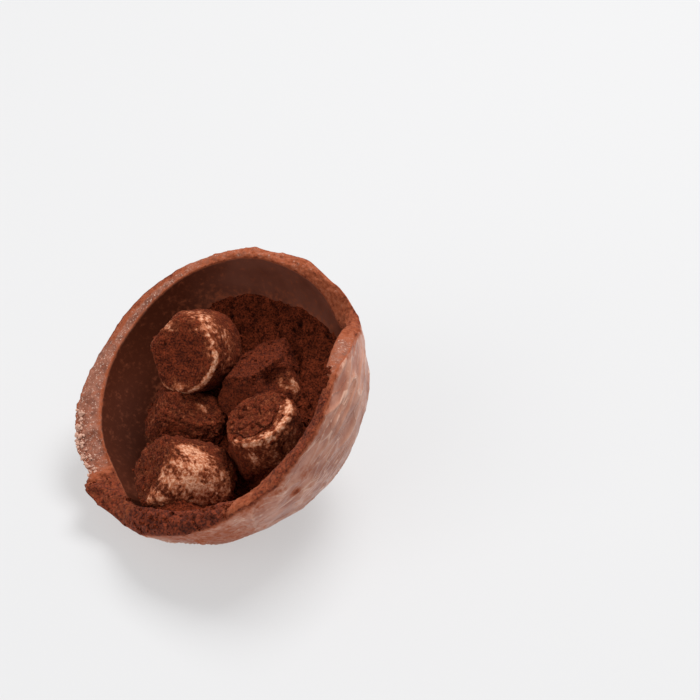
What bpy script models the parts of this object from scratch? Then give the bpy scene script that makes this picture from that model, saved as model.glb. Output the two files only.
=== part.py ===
# Half of a hot chocolate sphere, broken open like a bowl: a thick hand-dipped milk chocolate
# shell that leans on a small flat foot, a bank of cocoa powder in its hollow, and five
# marshmallows that lie on the powder. Metres, +Z up, origin at the middle of the foot.
import math

import bmesh
import bpy
import numpy as np
from mathutils import Matrix, Vector, noise

MM = 0.001
SHARP_FROM = math.radians(40)

# The whole ball, and how the broken half leans.
BALL_RADIUS = 28.0 * MM
FOOT_RADIUS = 10.0 * MM
LEAN = math.radians(35.0)           # of the bowl's axis from upright
LEAN_HEADING = math.radians(204.5)  # which way the mouth faces, turned from +X
BALL_HEIGHT = math.sqrt(BALL_RADIUS**2 - FOOT_RADIUS**2)

# The hollow is a little off centre, so the wall is thicker on the low side.
WALL = 3.2 * MM
WALL_SHIFT = 0.9 * MM
HOLLOW_RADIUS = BALL_RADIUS - WALL

# The broken rim: a turn from the low side in degrees, then how high the outer and the inner
# edge of the break stand above the ball's middle, in millimetres along the bowl's axis.
RIM = (
    (-167, -7.4, -8.8),
    (-150, -6.6, -6.2),
    (-133, -4.6, -3.8),
    (-118, -3.6, -3.0),
    (-103, -2.9, -2.5),
    (-88, -2.4, -2.7),
    (-74, -2.9, -3.0),
    (-60, -3.2, -3.3),
    (-45, -3.0, -4.1),
    (-32, -3.6, -5.0),
    (-22, -4.7, -5.8),
    (-13, -5.9, -6.8),
    (-3, -4.0, -7.2),
    (10, -6.8, -6.2),
    (24, -6.6, -4.2),
    (38, -5.2, -2.9),
    (50, -4.6, -3.6),
    (63, -4.6, -4.7),
    (76, -3.7, -5.4),
    (91, -3.3, -4.2),
    (106, -2.6, -3.8),
    (121, -1.5, -2.8),
    (134, -1.2, -1.0),
    (144, -3.4, -1.8),
    (154, -6.3, -4.4),
    (166, -9.6, -9.0),
    (179, -9.6, -12.8),
)
RIM_CROWN = 0.35 * MM    # how far the break swells between its edges
RIM_GRAIN = 0.25 * MM    # unevenness of the break
COAT_RELIEF = 0.70 * MM  # height of the ridges in the hand-dipped coat
COAT_RUN = 2.4           # ridges to each radian round the bowl, the way they run
COAT_RIDGES = 7.5        # and to each radian down its side, across them
COAT_LUMPS = 3.5         # broader lumps to each ball radius

SHELL_SIDES = 100
OUTER_ROWS = 22
BREAK_ROWS = 4
INNER_ROWS = 12

# The cocoa powder: its surface climbs to a bank at the back right, falls away on the left,
# and has a low heap between the front marshmallow and the rim. Heights are from the ball's
# middle.
GAP = 0.3 * MM
COCOA_MIDDLE = -18.4 * MM                   # its surface under the ball's middle
BANK_RISE = 0.70                            # slope of the bank towards the wall
BANK_HEADING = math.radians(55)             # where it is highest, from +X
BANK_SPREAD = 0.35                          # 0 would bank it alike on that whole side
FALL_WAY = (-0.95, 0.30)                    # the way in which the surface falls off
FALL = 0.045 / MM                           # how fast it falls
HEAP_MIDDLE = (-3.0 * MM, -16.0 * MM)
HEAP_SPREAD = (8.0 * MM, 4.0 * MM)
HEAP_HEIGHT = 3.2 * MM
COCOA_RELIEF = 0.9 * MM
COCOA_CRUMB = 4.5 * MM                      # size of its lumps
COCOA_BED = Vector((0.32, 0.30, -0.90)).normalized()  # towards the middle of its underside
COCOA_SIDES = 56
COCOA_TOP_ROWS = 13
COCOA_BED_ROWS = 9

# Each marshmallow: its centre from the ball's middle, the way one end faces, its width and
# length, all in millimetres, how dented it is, and that end's width as a share of the rest.
MARSHMALLOWS = {
    "marshmallow_back_left": ((-1.1, 12.5, -4.3), (-0.38, -0.83, 0.40), 13.2, 13.4, 0.5, 1.0),
    "marshmallow_back_right": ((10.5, 6.9, -6.8), (0.20, 0.10, 0.97), 13.6, 12.4, 1.2, 0.64),
    "marshmallow_middle": ((-2.8, 3.9, -13.1), (-0.90, 0.02, 0.43), 10.4, 13.0, 0.8, 1.0),
    "marshmallow_right": ((11.0, -5.2, -9.6), (-0.25, -0.05, 0.97), 12.0, 13.4, 0.6, 0.95),
    "marshmallow_front": ((-2.3, -9.9, -14.0), (-0.77, -0.34, 0.54), 12.8, 15.4, 0.5, 1.05),
}
PUFF_SIDES = 20
PUFF_ROWS = 12
PUFF_ROUND = 2 / 3.6     # power of the side's curve: 1 is an ellipse, 0 a cylinder
PUFF_DENT = 0.9 * MM
PUFF_LUMP = 6.0 * MM     # size of the dents

# Finishes: colour as the eye sees it, from 0 to 255, and roughness.
FINISHES = {
    "milk_chocolate": ((158, 112, 96), 0.38),
    "cocoa_powder": ((82, 36, 22), 0.95),
    "marshmallow": ((150, 88, 62), 0.90),
}


def clear_scene():
    for old in list(bpy.data.objects):
        bpy.data.objects.remove(old, do_unlink=True)


def linear(value):
    """A 0 to 255 screen value as linear light."""
    share = value / 255
    return share / 12.92 if share <= 0.04045 else ((share + 0.055) / 1.055) ** 2.4


def finish(name):
    """A new Principled material from the list of finishes."""
    seen, roughness = FINISHES[name]
    colour = (*(linear(value) for value in seen), 1.0)
    material = bpy.data.materials.new(name)
    material.use_nodes = True
    shader = material.node_tree.nodes["Principled BSDF"]
    shader.inputs["Base Color"].default_value = colour
    shader.inputs["Roughness"].default_value = roughness
    shader.inputs["Metallic"].default_value = 0.0
    material.diffuse_color = colour
    return material


def ring_solid(name, first, rings, last, parent, finish_name):
    """A closed solid skinned over rings of points, drawn to one point at each end."""
    shape = bmesh.new()
    start = shape.verts.new(first)
    loops = [[shape.verts.new(point) for point in ring] for ring in rings]
    end = shape.verts.new(last)
    sides = len(loops[0])
    for side in range(sides):
        beside = (side + 1) % sides
        shape.faces.new((start, loops[0][beside], loops[0][side]))
        for low, high in zip(loops, loops[1:]):
            shape.faces.new((low[side], low[beside], high[beside], high[side]))
        shape.faces.new((end, loops[-1][side], loops[-1][beside]))
    bmesh.ops.recalc_face_normals(shape, faces=shape.faces)
    mesh = bpy.data.meshes.new(name)
    shape.to_mesh(mesh)
    shape.free()
    mesh.shade_smooth()
    mesh.set_sharp_from_angle(angle=SHARP_FROM)
    mesh.materials.append(finish(finish_name))
    solid = bpy.data.objects.new(name, mesh)
    bpy.context.collection.objects.link(solid)
    solid.parent = parent
    return solid


def empty(name, place, turn):
    holder = bpy.data.objects.new(name, None)
    bpy.context.collection.objects.link(holder)
    holder.matrix_world = Matrix.Translation(place) @ turn.to_4x4()
    return holder


def bowl_turn():
    """Turn from the bowl's own frame: X is its low side and Z its axis."""
    return Matrix.Rotation(LEAN_HEADING, 3, "Z") @ Matrix.Rotation(LEAN, 3, "Y")


def polar(turn, drop):
    """Unit vector at a turn round -Z and an angle up from it."""
    flat = math.sin(drop)
    return Vector((flat * math.cos(turn), flat * math.sin(turn), -math.cos(drop)))


# --- the shell ---------------------------------------------------------------------------

def ring_curve(turns, values):
    """A smooth closed curve through values that stand at turns in degrees."""
    turns = np.concatenate((turns[-2:] - 360, turns, turns[:2] + 360))
    values = np.concatenate((values[-2:], values, values[:2]))
    slopes = np.gradient(values, turns)

    def at(turn):
        i = int(np.searchsorted(turns, turn)) - 1
        span = turns[i + 1] - turns[i]
        t = (turn - turns[i]) / span
        ahead = t * t * (3 - 2 * t)
        lift = span * t * (1 - t) * ((1 - t) * slopes[i] - t * slopes[i + 1])
        return values[i] + (values[i + 1] - values[i]) * ahead + lift

    return at


def coat(turn, drop):
    """Height of the hand-dipped coat: ridges that run round the bowl, over broad lumps."""
    lumps = noise.noise(polar(turn, drop) * COAT_LUMPS)
    way = Vector((math.cos(turn), math.sin(turn), 0)) * COAT_RUN * math.sin(drop)
    way.z = drop * COAT_RIDGES + lumps
    return COAT_RELIEF * (noise.noise(way) + lumps) / 2


def outer_point(turn, drop):
    return polar(turn, drop) * (BALL_RADIUS + coat(turn, drop))


def hollow_centre():
    return Vector((-WALL_SHIFT, 0.0, 0.0))


def break_point(outer, inner, share):
    """A point of the broken face, by its share of the way from outer to inner edge."""
    point = outer.lerp(inner, share)
    swell = 4 * share * (1 - share)
    point.z += swell * (RIM_CROWN + RIM_GRAIN * noise.noise(point / (2 * MM)))
    return point


def shell_column(turn, rim_heights):
    """Points of the shell at one turn, from its outside bottom over the rim and back in."""
    outer_height, inner_height = (curve(math.degrees(turn)) * MM for curve in rim_heights)
    outer_drop = math.acos(-outer_height / BALL_RADIUS)
    inner_drop = math.acos(-inner_height / HOLLOW_RADIUS)
    outside = [outer_point(turn, outer_drop * row / OUTER_ROWS)
               for row in range(1, OUTER_ROWS + 1)]
    inside = [hollow_centre() + HOLLOW_RADIUS * polar(turn, inner_drop * row / INNER_ROWS)
              for row in range(INNER_ROWS, 0, -1)]
    broken = [break_point(outside[-1], inside[0], row / BREAK_ROWS)
              for row in range(1, BREAK_ROWS)]
    return outside + broken + inside


def stand(point, ball_height, up):
    """The point, raised to the foot's flat face if it would lie under it."""
    under = -(ball_height + point.dot(up))
    return point + up * max(under, 0.0)


def make_shell(bowl):
    rows = np.array(RIM, dtype=float)
    rim_heights = [ring_curve(rows[:, 0], rows[:, edge]) for edge in (1, 2)]
    turns = [2 * math.pi * side / SHELL_SIDES - math.pi for side in range(SHELL_SIDES)]
    columns = [shell_column(turn, rim_heights) for turn in turns]
    up = bowl_turn().transposed() @ Vector((0, 0, 1))
    rings = [[stand(point, BALL_HEIGHT, up) for point in ring] for ring in zip(*columns)]
    first = stand(outer_point(0.0, 0.0), BALL_HEIGHT, up)
    last = hollow_centre() + HOLLOW_RADIUS * polar(0.0, 0.0)
    ring_solid("shell", first, rings, last, bowl, "milk_chocolate")


# --- the cocoa powder --------------------------------------------------------------------

def hollow_middle():
    """The hollow's centre from the ball's middle, in the upright frame."""
    return bowl_turn() @ hollow_centre()


def spokes_round(axis, sides):
    """Unit vectors square to an axis, evenly turned about it."""
    along = axis.orthogonal().normalized()
    across = axis.cross(along)
    turns = [2 * math.pi * side / sides for side in range(sides)]
    return [along * math.cos(turn) + across * math.sin(turn) for turn in turns]


def cocoa_height(x, y):
    """Height of the powder's surface, from the ball's middle."""
    out = math.hypot(x, y)
    facing = max(math.cos(math.atan2(y, x) - BANK_HEADING), 0.0)
    bank = BANK_RISE * out * facing**BANK_SPREAD
    left = max(FALL_WAY[0] * x + FALL_WAY[1] * y, 0.0)
    off = [(x - HEAP_MIDDLE[0]) / HEAP_SPREAD[0], (y - HEAP_MIDDLE[1]) / HEAP_SPREAD[1]]
    heap = HEAP_HEIGHT * math.exp(-off[0] ** 2 - off[1] ** 2)
    return COCOA_MIDDLE + bank + heap - FALL * left * left


def make_cocoa(upright):
    """The powder between its surface and just clear of the wall."""
    centre = hollow_middle()
    radius = HOLLOW_RADIUS - GAP
    spokes = spokes_round(COCOA_BED, COCOA_SIDES)

    def bed(spoke, drop):
        return centre + radius * (spoke * math.sin(drop) + COCOA_BED * math.cos(drop))

    def shore(spoke):
        """Angle from the middle of the underside to where the surface meets the wall."""
        low, high = 0.0, math.pi / 2
        for _ in range(30):
            middle = (low + high) / 2
            point = bed(spoke, middle)
            if point.z < cocoa_height(point.x, point.y):
                low = middle
            else:
                high = middle
        return low

    shores = [shore(spoke) for spoke in spokes]
    edge = [bed(spoke, drop) for spoke, drop in zip(spokes, shores)]
    middle = sum(edge, Vector()) / COCOA_SIDES

    def top(rim_point, share):
        point = middle.lerp(rim_point, share)
        lump = noise.fractal(point / COCOA_CRUMB, 0.8, 2.0, 3)
        point.z = cocoa_height(point.x, point.y) + COCOA_RELIEF * lump * (1 - share**4)
        return point

    rings = [[bed(spoke, drop * row / COCOA_BED_ROWS) for spoke, drop in zip(spokes, shores)]
             for row in range(1, COCOA_BED_ROWS + 1)]
    rings += [[top(point, row / COCOA_TOP_ROWS) for point in edge]
              for row in range(COCOA_TOP_ROWS - 1, 0, -1)]
    first = bed(spokes[0], 0.0)
    last = top(edge[0], 0.0)
    return ring_solid("cocoa", first, rings, last, upright, "cocoa_powder")


# --- the marshmallows --------------------------------------------------------------------

def power(value):
    return math.copysign(abs(value) ** PUFF_ROUND, value)


def puff_point(turn, rise, width, length, dent, taper, seed):
    """A point of a squashed, rounded cylinder that lies along its own Z."""
    reach = power(math.cos(rise)) * width / 2
    reach *= 1 + (taper - 1) * (1 + math.sin(rise)) / 2
    point = Vector((reach * math.cos(turn), reach * math.sin(turn),
                    power(math.sin(rise)) * length / 2))
    lump = noise.noise(point / PUFF_LUMP + Vector((seed, 0, 0)))
    return point * (1 + dent * PUFF_DENT * lump / (width / 2))


def make_marshmallow(name, seed, upright, grow=0.0):
    """One marshmallow, or a copy of it that is larger all round."""
    place, facing, width, length, dent, taper = MARSHMALLOWS[name]
    width = width * MM + 2 * grow
    length = length * MM + 2 * grow
    turns = [2 * math.pi * side / PUFF_SIDES for side in range(PUFF_SIDES)]
    rises = [math.pi * (row / PUFF_ROWS - 0.5) for row in range(PUFF_ROWS + 1)]
    rings = [[puff_point(turn, rise, width, length, dent, taper, seed) for turn in turns]
             for rise in rises[1:-1]]
    first, last = (puff_point(0.0, rise, width, length, dent, taper, seed)
                   for rise in (rises[0], rises[-1]))
    puff = ring_solid(name, first, rings, last, upright, "marshmallow")
    puff.location = Vector(place) * MM
    puff.rotation_mode = "QUATERNION"
    puff.rotation_quaternion = Vector(facing).to_track_quat("Z", "Y")
    return puff


def press(powder, cutters):
    """Hollows in the powder where marshmallows lie."""
    for cutter in cutters:
        cut = powder.modifiers.new(cutter.name, "BOOLEAN")
        cut.operation = "DIFFERENCE"
        cut.solver = "EXACT"
        cut.object = cutter


def make_cutter(name, seed, upright):
    cutter = make_marshmallow(name, seed, upright, grow=GAP)
    cutter.name = f"press_{name}"
    cutter.hide_render = True
    cutter.display_type = "WIRE"
    return cutter


def main():
    clear_scene()
    ball_middle = Vector((0.0, 0.0, BALL_HEIGHT))
    bowl = empty("bowl_frame", ball_middle, bowl_turn())
    upright = empty("ball_middle", ball_middle, Matrix.Identity(3))
    make_shell(bowl)
    cutters = []
    for number, name in enumerate(MARSHMALLOWS):
        make_marshmallow(name, 7.3 * number, upright)
        cutters.append(make_cutter(name, 7.3 * number, upright))
    press(make_cocoa(upright), cutters)


main()
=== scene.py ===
import math

import bmesh
import bpy
import numpy as np
from mathutils import Matrix, Vector, noise
from mathutils.bvhtree import BVHTree


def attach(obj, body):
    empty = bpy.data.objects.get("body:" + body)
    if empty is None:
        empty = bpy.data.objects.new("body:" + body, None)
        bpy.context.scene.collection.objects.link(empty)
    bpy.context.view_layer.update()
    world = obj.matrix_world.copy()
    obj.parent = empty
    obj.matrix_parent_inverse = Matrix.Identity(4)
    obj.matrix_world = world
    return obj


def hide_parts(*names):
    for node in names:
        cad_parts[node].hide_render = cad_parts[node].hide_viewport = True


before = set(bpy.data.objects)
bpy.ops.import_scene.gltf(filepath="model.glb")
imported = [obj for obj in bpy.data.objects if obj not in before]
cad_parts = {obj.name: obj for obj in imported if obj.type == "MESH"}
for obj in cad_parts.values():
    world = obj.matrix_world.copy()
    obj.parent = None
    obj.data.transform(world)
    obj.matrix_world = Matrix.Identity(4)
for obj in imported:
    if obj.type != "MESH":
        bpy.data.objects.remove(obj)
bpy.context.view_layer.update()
print("frame loaded:", ", ".join(sorted(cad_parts)))

mm = 0.001

# The whole ball, and how the broken half leans on its foot.
ball = {
    "radius": 28.0,
    "footRadius": 10.0,
    "lean": math.radians(35.0),         # of the bowl's axis from upright
    "leanHeading": math.radians(204.5), # which way the mouth faces, turned from +X
    "wall": 3.2,
    "wallShift": 0.9,                   # the hollow is off centre, so the low side is thicker
}
ballHeight = math.sqrt(ball["radius"] ** 2 - ball["footRadius"] ** 2)
ballMiddle = Vector((0.0, 0.0, ballHeight)) * mm
hollowRadius = ball["radius"] - ball["wall"]
bowlTurn = Matrix.Rotation(ball["leanHeading"], 3, "Z") @ Matrix.Rotation(ball["lean"], 3, "Y")
fromBowl = np.array(bowlTurn)           # bowl's own frame (X low side, Z axis) to upright
hollowShift = np.array((-ball["wallShift"], 0.0, 0.0))
hollowCentre = fromBowl @ hollowShift


def smooth(value):
    share = np.clip(value, 0.0, 1.0)
    return share * share * (3 - 2 * share)


def stretchMask(value, stretch):
    # 1 along a stretch and 0 outside it: the stretch is a middle, a reach and how soft its ends are
    middle, reach, soft = stretch
    return smooth((reach - np.abs(value - middle)) / soft)


def fadeOut(away):
    # away is a share of a spot's reach: 1 near its middle, fading to 0 past its edge
    return smooth((1.9 - away) / 1.5)


def unitVector(way):
    return np.array(Vector(way).normalized())


def lumps(points, size, octaves=1, seed=0.0):
    # soft noise from about -1 to 1, with lumps of about that size, and finer ones in each octave
    places = (np.asarray(points) / size + seed).tolist()
    if octaves == 1:
        return np.array([noise.noise(place) for place in places])
    fade, finer = 0.9, 2.0
    return np.array([noise.fractal(place, fade, finer, octaves) for place in places])


def layered(points, layers):
    # lumps over lumps: each layer is a size, its octaves, a seed and a height
    return sum(height * lumps(points, size, octaves, seed)
               for size, octaves, seed, height in layers)


def pebbles(points, size, seed=0.0):
    # 1 in the middle of each pebble, 0 at its edge
    places = (np.asarray(points) / size + seed).tolist()
    nearest = np.array([noise.voronoi(place)[0][:2] for place in places])
    return np.clip(nearest[:, 1] - nearest[:, 0], 0.0, 1.0)


def clods(points, size, seed=0.0):
    # crumbled blocks: each stands at its own height from -1 to 1, with a crevice round it
    places = (np.asarray(points) / size + seed).tolist()
    cells = [noise.voronoi(place) for place in places]
    middles = np.array([cell[1][0] for cell in cells])
    distances = np.array([cell[0][:2] for cell in cells])
    scatter, crevice = np.array((12.99, 78.23, 37.72)), 0.30
    level = np.sin(middles @ scatter) * 437.58      # its part after the point is as good as random
    level = 2 * (level - np.floor(level)) - 1
    return level * smooth((distances[:, 1] - distances[:, 0]) / crevice)


def spotMask(points, spots):
    # each spot is a place, a reach and a strength
    mask = np.zeros(len(points))
    for place, reach, strength in spots:
        away = np.linalg.norm(points - np.array(place), axis=1) / reach
        mask = np.maximum(mask, strength * fadeOut(away))
    return mask


def curveRound(rows, column):
    # a smooth closed curve through a column of values that stand at turns in degrees
    table = np.array(rows, dtype=float)
    turns = np.concatenate((table[-2:, 0] - 360, table[:, 0], table[:2, 0] + 360))
    values = np.concatenate((table[-2:, column], table[:, column], table[:2, column]))
    slopes = np.gradient(values, turns)

    def at(turn):
        i = np.searchsorted(turns, turn) - 1
        span = turns[i + 1] - turns[i]
        t = (turn - turns[i]) / span
        ahead = t * t * (3 - 2 * t)
        lift = span * t * (1 - t) * ((1 - t) * slopes[i] - t * slopes[i + 1])
        return values[i] + (values[i + 1] - values[i]) * ahead + lift

    return at


def stepRound(rows, column, turn):
    # the same column, drawn straight from row to row
    table = np.array(rows, dtype=float)
    return np.interp(turn, table[:, 0], table[:, column], period=360)


def polar(turn, drop):
    # unit vectors at a turn round -Z and an angle up from it
    flat = np.sin(drop)
    return np.stack((flat * np.cos(turn), flat * np.sin(turn), -np.cos(drop)), axis=-1)


def ringFaces(rows, sides):
    # faces of a closed skin over rings, with one point before the first and after the last
    faces = []
    end = rows * sides + 1
    for side in range(sides):
        beside = (side + 1) % sides
        faces.append((0, 1 + beside, 1 + side))
        faces.append((end, end - sides + side, end - sides + beside))
    for row in range(rows - 1):
        low = 1 + row * sides
        for side in range(sides):
            beside = (side + 1) % sides
            faces.append((low + side, low + beside, low + sides + beside, low + sides + side))
    return faces


def meshPiece(name, points, faces, material, values=None):
    mesh = bpy.data.meshes.new(name)
    mesh.from_pydata((np.asarray(points) * mm + np.array(ballMiddle)).tolist(), [], faces)
    for valueName, value in (values or {}).items():
        layer = mesh.attributes.new(valueName, "FLOAT", "POINT")
        layer.data.foreach_set("value", np.asarray(value, dtype=np.float32))
    mesh.shade_smooth()
    mesh.materials.append(material)
    piece = bpy.data.objects.new(name, mesh)
    bpy.context.scene.collection.objects.link(piece)
    return piece


def settle(piece, slotName, *nodes):
    # the piece belongs to the one body, and stands for the CAD nodes
    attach(piece, "root")
    if nodes:
        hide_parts(*nodes)
    print(f"{piece.name}: {len(piece.data.polygons)} faces")


def linear(seen):
    # a colour as the eye sees it, 0 to 255, as linear light
    shares = [value / 255 for value in seen]
    return (*(s / 12.92 if s <= 0.04045 else ((s + 0.055) / 1.055) ** 2.4 for s in shares), 1.0)


def newGroup(name, inputs, outputs):
    group = bpy.data.node_groups.new(name, "ShaderNodeTree")
    kinds = {"value": "NodeSocketFloat", "colour": "NodeSocketColor"}
    for label, default in inputs.items():
        socket = group.interface.new_socket(name=label, in_out="INPUT",
                                            socket_type=kinds["value"])
        socket.default_value = default
    for label, kind in outputs.items():
        group.interface.new_socket(name=label, in_out="OUTPUT", socket_type=kinds[kind])
    start = group.nodes.new("NodeGroupInput")
    end = group.nodes.new("NodeGroupOutput")
    return group, start.outputs, end.inputs


def wire(tree, value, socket):
    # a socket is linked, and a plain number or colour is set
    if isinstance(value, bpy.types.NodeSocket):
        tree.links.new(value, socket)
    else:
        socket.default_value = value


def maths(tree, operation, first, second=0.0, clamp=False):
    node = tree.nodes.new("ShaderNodeMath")
    node.operation = operation
    node.use_clamp = clamp
    wire(tree, first, node.inputs[0])
    wire(tree, second, node.inputs[1])
    return node.outputs[0]


def weighted(tree, first, firstShare, second, secondShare, clamp=False):
    # both values, each times its share, added up
    return maths(tree, "ADD", maths(tree, "MULTIPLY", first, firstShare),
                 maths(tree, "MULTIPLY", second, secondShare), clamp)


def blendColour(tree, share, first, second):
    node = tree.nodes.new("ShaderNodeMix")
    node.data_type = "RGBA"
    wire(tree, share, node.inputs["Factor"])
    wire(tree, first, node.inputs[6])
    wire(tree, second, node.inputs[7])
    return node.outputs[2]


def blendValue(tree, share, first, second):
    node = tree.nodes.new("ShaderNodeMix")
    wire(tree, share, node.inputs["Factor"])
    wire(tree, first, node.inputs[2])
    wire(tree, second, node.inputs[3])
    return node.outputs[0]


def ramp(tree, value, low, high):
    # 0 below low, 1 above high, smooth between
    node = tree.nodes.new("ShaderNodeMapRange")
    node.interpolation_type = "SMOOTHSTEP"
    wire(tree, value, node.inputs["Value"])
    wire(tree, low, node.inputs["From Min"])
    wire(tree, high, node.inputs["From Max"])
    return node.outputs["Result"]


def objectPlace(tree):
    return tree.nodes.new("ShaderNodeTexCoord").outputs["Object"]


def mapped(tree, place, step, value):
    # the place after one step: a Location, a Rotation or a Scale
    node = tree.nodes.new("ShaderNodeMapping")
    node.inputs[step].default_value = value
    tree.links.new(place, node.inputs["Vector"])
    return node.outputs["Vector"]


def noiseNode(tree, size, detail, rough=0.6, place=None, bend=0.0):
    # noise with lumps of about that size in millimetres
    node = tree.nodes.new("ShaderNodeTexNoise")
    tree.links.new(objectPlace(tree) if place is None else place, node.inputs["Vector"])
    scale = 1 / (size * mm) if isinstance(size, float) else maths(tree, "DIVIDE", 1 / mm, size)
    wire(tree, scale, node.inputs["Scale"])
    node.inputs["Detail"].default_value = detail
    node.inputs["Roughness"].default_value = rough
    node.inputs["Distortion"].default_value = bend
    return node.outputs["Fac"]


def attribute(tree, name):
    node = tree.nodes.new("ShaderNodeAttribute")
    node.attribute_name = name
    return node.outputs["Fac"]


def powderTone(tree, grain, clumpSize, detail):
    # grains, lighter and darker again from clump to clump
    return weighted(tree, grain, 0.72, noiseNode(tree, clumpSize, detail), 0.28)


dustLook = {
    "thin": (158, 80, 47),      # a film of cocoa
    "light": (134, 57, 30),
    # painted shade for the dips and crevices of the dust
    "dark": (62, 19, 8),
    "pit": (34, 9, 4),
    "clumpSize": 1.4,
    "thinFrom": (0.0, 0.72),    # the amounts between which a film appears
    "thickFrom": (0.50, 1.05),  # and between which it grows into a crust
}


def makeDustGroup(look):
    # loose cocoa over a surface: where it lies, thin or thick, its colour with painted shade in its
    # dips, and its height
    group, given, out = newGroup(
        "cocoaDust",
        {"Amount": 0.5, "Patch Size": 0.9, "Spread": 0.9, "Grain Size": 0.3, "Pit": 0.0},
        {"Mask": "value", "Colour": "colour", "Height": "value"})
    patches = noiseNode(group, given["Patch Size"], 6.0, 0.7)
    offset = maths(group, "MULTIPLY", maths(group, "SUBTRACT", patches, 0.5), given["Spread"])
    level = maths(group, "ADD", given["Amount"], maths(group, "MULTIPLY", offset, 2.0))
    thin = ramp(group, level, *look["thinFrom"])
    thick = ramp(group, level, *look["thickFrom"])
    grain = noiseNode(group, given["Grain Size"], 3.0)
    tone = ramp(group, powderTone(group, grain, look["clumpSize"], 3.0), 0.37, 0.63)
    loose = blendColour(group, tone, linear(look["dark"]), linear(look["light"]))
    # painted shade darkens it where the surface is sunk
    loose = blendColour(group, given["Pit"], loose, linear(look["pit"]))
    colour = blendColour(group, thick, linear(look["thin"]), loose)
    group.links.new(thin, out["Mask"])
    group.links.new(colour, out["Colour"])
    group.links.new(maths(group, "MULTIPLY", grain, thick), out["Height"])
    return group


def makeGrainGroup():
    # the fine crystals of a chocolate break: light specks that are painted glints, and a grainy
    # height
    group, given, out = newGroup(
        "breakGrain",
        {"Grain Size": 0.34, "Speck Share": 0.15},
        {"Specks": "value", "Tone": "value", "Height": "value"})
    fine = noiseNode(group, given["Grain Size"], 4.0, 0.7)
    broad = noiseNode(group, 1.6, 3.0)
    edge = maths(group, "SUBTRACT", 0.72, given["Speck Share"])
    group.links.new(ramp(group, fine, edge, maths(group, "ADD", edge, 0.08)), out["Specks"])
    group.links.new(broad, out["Tone"])
    group.links.new(fine, out["Height"])
    return group


def groupNode(tree, group, **values):
    node = tree.nodes.new("ShaderNodeGroup")
    node.node_tree = group
    for label, value in values.items():
        wire(tree, value, node.inputs[label.replace("_", " ")])
    return node.outputs


def dustOver(tree, look, amount):
    return groupNode(tree, dustGroup, Amount=amount, Patch_Size=look["dustPatch"],
                     Spread=look["dustSpread"], Grain_Size=look["dustGrain"],
                     Pit=attribute(tree, "pit"))


def bump(tree, height, depth):
    node = tree.nodes.new("ShaderNodeBump")
    node.inputs["Distance"].default_value = depth * mm
    tree.links.new(height, node.inputs["Height"])
    return node.outputs["Normal"]


def newMaterial(name, roughness=0.5, **plain):
    material = bpy.data.materials.new(name)
    material.use_nodes = True
    tree = material.node_tree
    shader = tree.nodes["Principled BSDF"]
    shader.inputs["Roughness"].default_value = roughness
    for label, value in plain.items():
        shader.inputs[label.replace("_", " ")].default_value = value
    return material, tree, shader.inputs


dustGroup = makeDustGroup(dustLook)
grainGroup = makeGrainGroup()

milkChocolate = {
    "coat": (188, 129, 106),      # hand-dipped outside, with a light bloom
    "coatValley": (154, 91, 69),
    "crest": (214, 168, 146),     # thin ridges rubbed light
    # painted highlight along thin ridges, and on the flakes
    "broken": (150, 96, 76),
    "brokenDark": (118, 68, 50),
    # light specks on the break: painted glints off its crystals
    "specks": (214, 178, 160),
    # the hollow's own darker chocolate, darkened further by painted shade of the hollow
    "inner": (76, 33, 18),
    "haze": (108, 62, 48),        # painted sheen on the back of the hollow
    "coatRoughness": 0.29,
    "brokenRoughness": 0.55,
    "innerRoughness": 0.42,
    "dustRoughness": 0.95,
    "grainSize": 0.34,                  # of the crystals on the break
    "speckShare": 0.15,
    "cloudSize": 4.0,                   # of the bloom's light and dark places
    "rippleSizes": (3.2, 5.6),          # fine ridges on the coat
    "rippleStretch": (0.30, 0.30, 1.0), # they run round the bowl
    "rippleBend": 0.5,
    "rippleWidth": 0.024,
    "rubSize": 2.2,                     # of the places where the ridges carry painted highlights
    "rippleHeight": 0.8,
    "dustPatch": 0.9,
    "dustSpread": 0.80,                 # how raggedly the dust ends
    "dustGrain": 0.38,
    "dustHeight": 1.5,
    "bumpDepth": 0.10,
}


def rippleNode(tree, size, look):
    # 1 along thin crests round the bowl's axis, falling off at both sides
    place = mapped(tree, objectPlace(tree), "Location", -ballMiddle)
    place = mapped(tree, place, "Rotation", bowlTurn.inverted().to_euler())
    place = mapped(tree, place, "Scale", look["rippleStretch"])
    waves = noiseNode(tree, size, 1.2, 0.5, place, look["rippleBend"])
    off = maths(tree, "ABSOLUTE", maths(tree, "SUBTRACT", waves, 0.5))
    return ramp(tree, off, look["rippleWidth"], 0.0)


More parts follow.
